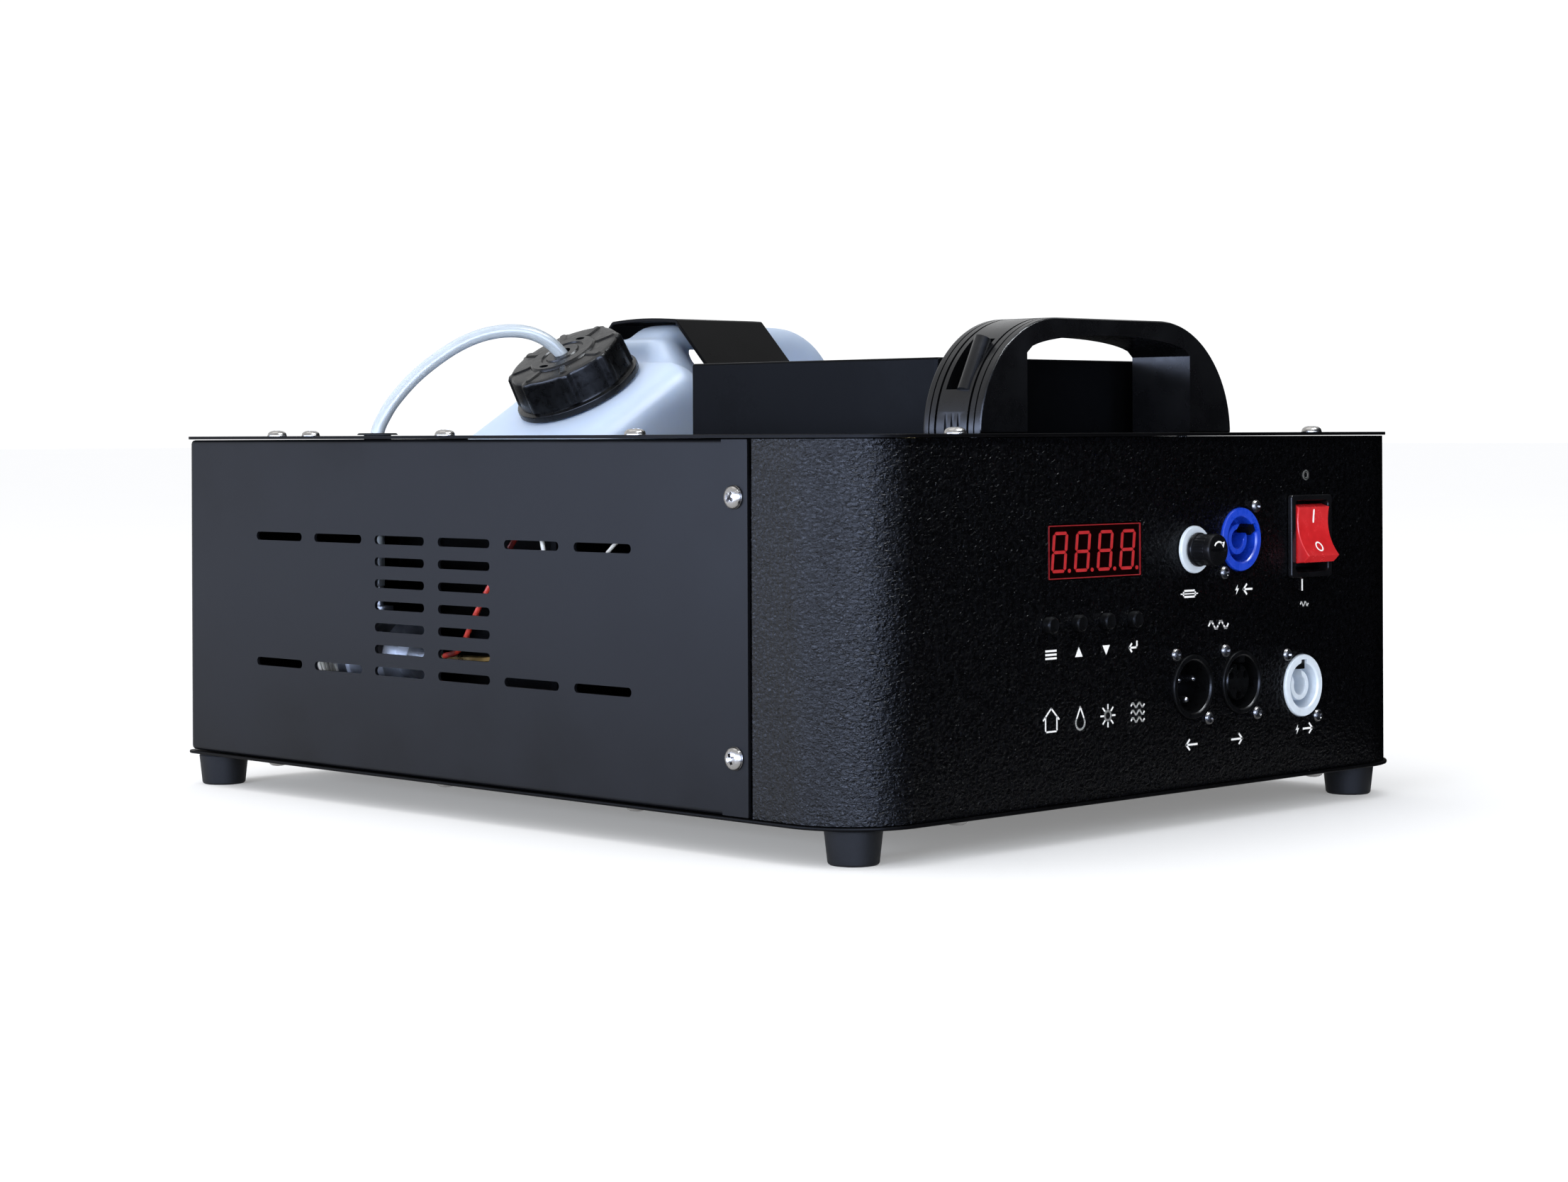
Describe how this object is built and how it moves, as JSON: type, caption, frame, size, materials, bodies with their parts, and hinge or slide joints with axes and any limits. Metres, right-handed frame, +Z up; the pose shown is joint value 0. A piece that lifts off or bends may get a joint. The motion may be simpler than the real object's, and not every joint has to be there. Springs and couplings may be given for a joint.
{
  "type": "fog machine",
  "caption": "Upright fog machine: black sheet-metal case, carrying handle, raised light head, strapped fluid can in a well, control face with display, keys and sockets.",
  "frame": {"origin": "middle of the underside, on the plane that the feet stand on", "axes": "+Z up, -Y out of the control face, +X to the right as seen from in front of the control face"},
  "size_m": [0.3204, 0.3942, 0.1902],
  "materials": {
    "case_black": "satin",
    "grained_black": "grained powder coat",
    "moulded_black": "gloss",
    "rubber_black": "matte",
    "nickel": "bright nickel",
    "milky_plastic": "translucent satin",
    "clear_hose": "translucent",
    "clear_lens": "clear",
    "blue_plastic": "satin",
    "pale_grey_plastic": "satin",
    "red_plastic": "gloss",
    "display_window": "gloss",
    "board_green": "satin",
    "brass": "satin",
    "cast_aluminium": "cast",
    "zinc_sheet": "zinc plated",
    "white_plastic": "satin"
  },
  "bodies": {
    "case": {"base_plate": "case_black", "top_plate": "case_black", "front_shell": "grained_black", "rear_cover": "case_black", "foot_front_left": "rubber_black", "foot_front_right": "rubber_black", "foot_back_left": "rubber_black", "foot_back_right": "rubber_black", "cover_screw_left_lower": "nickel", "cover_screw_left_upper": "nickel", "cover_screw_right_lower": "nickel", "cover_screw_right_upper": "nickel", "head_housing": "case_black", "led_board": "board_green", "lens_plate": "clear_lens", "nozzle": "brass", "heater_block": "cast_aluminium", "heater_bracket": "zinc_sheet", "thermostat": "zinc_sheet", "heat_shield": "zinc_sheet", "pump": "white_plastic", "pump_bracket": "zinc_sheet", "pump_outlet_tube": "brass", "can_well": "case_black", "fluid_can": "milky_plastic", "pickup_tube": "white_plastic", "feed_hose": "clear_hose", "hose_grommet": "rubber_black", "can_strap": "case_black", "strap_screw_front": "nickel", "strap_screw_back": "nickel", "carry_handle": "moulded_black", "handle_screw_left": "nickel", "handle_screw_right": "nickel", "display_board": "board_green", "led_display": "display_window", "signal_in": "moulded_black", "signal_out": "moulded_black", "power_in": "blue_plastic", "power_out": "pale_grey_plastic", "signal_in_insert": "moulded_black", "signal_out_insert": "moulded_black", "power_in_post": "blue_plastic", "power_out_post": "pale_grey_plastic", "fuse_holder": "pale_grey_plastic", "switch_bezel": "moulded_black", "control_board": "board_green", "power_supply": "zinc_sheet", "terminal_block": "white_plastic"},
    "rocker": {"switch_rocker": "red_plastic"},
    "fuse_carrier": {"fuse_cap": "moulded_black", "fuse_cartridge": "white_plastic"},
    "cap": {"can_cap": "moulded_black"},
    "menu_key": {"button_menu": "moulded_black"},
    "up_key": {"button_up": "moulded_black"},
    "down_key": {"button_down": "moulded_black"},
    "enter_key": {"button_enter": "moulded_black"}
  },
  "joints": [
    {"name": "power_switch", "type": "hinge", "parent": "case", "child": "rocker", "pos_m": [0.0887, -0.1831, 0.1029], "axis": [1, 0, 0], "range_deg": [0, 28]},
    {"name": "fuse_pull", "type": "slide", "parent": "case", "child": "fuse_carrier", "axis": [0, -1, 0], "range_m": [0, 0.035]},
    {"name": "cap_turn", "type": "hinge", "parent": "case", "child": "cap", "pos_m": [-0.0616, 0.0719, 0.1755], "axis": [-0.515, 0, 0.8572], "range_deg": [0, 270]},
    {"name": "menu_press", "type": "slide", "parent": "case", "child": "menu_key", "axis": [0, 1, 0], "range_m": [0, 0.0007], "stiffness_N_per_m": 400},
    {"name": "up_press", "type": "slide", "parent": "case", "child": "up_key", "axis": [0, 1, 0], "range_m": [0, 0.0007], "stiffness_N_per_m": 400},
    {"name": "down_press", "type": "slide", "parent": "case", "child": "down_key", "axis": [0, 1, 0], "range_m": [0, 0.0007], "stiffness_N_per_m": 400},
    {"name": "enter_press", "type": "slide", "parent": "case", "child": "enter_key", "axis": [0, 1, 0], "range_m": [0, 0.0007], "stiffness_N_per_m": 400}
  ]
}
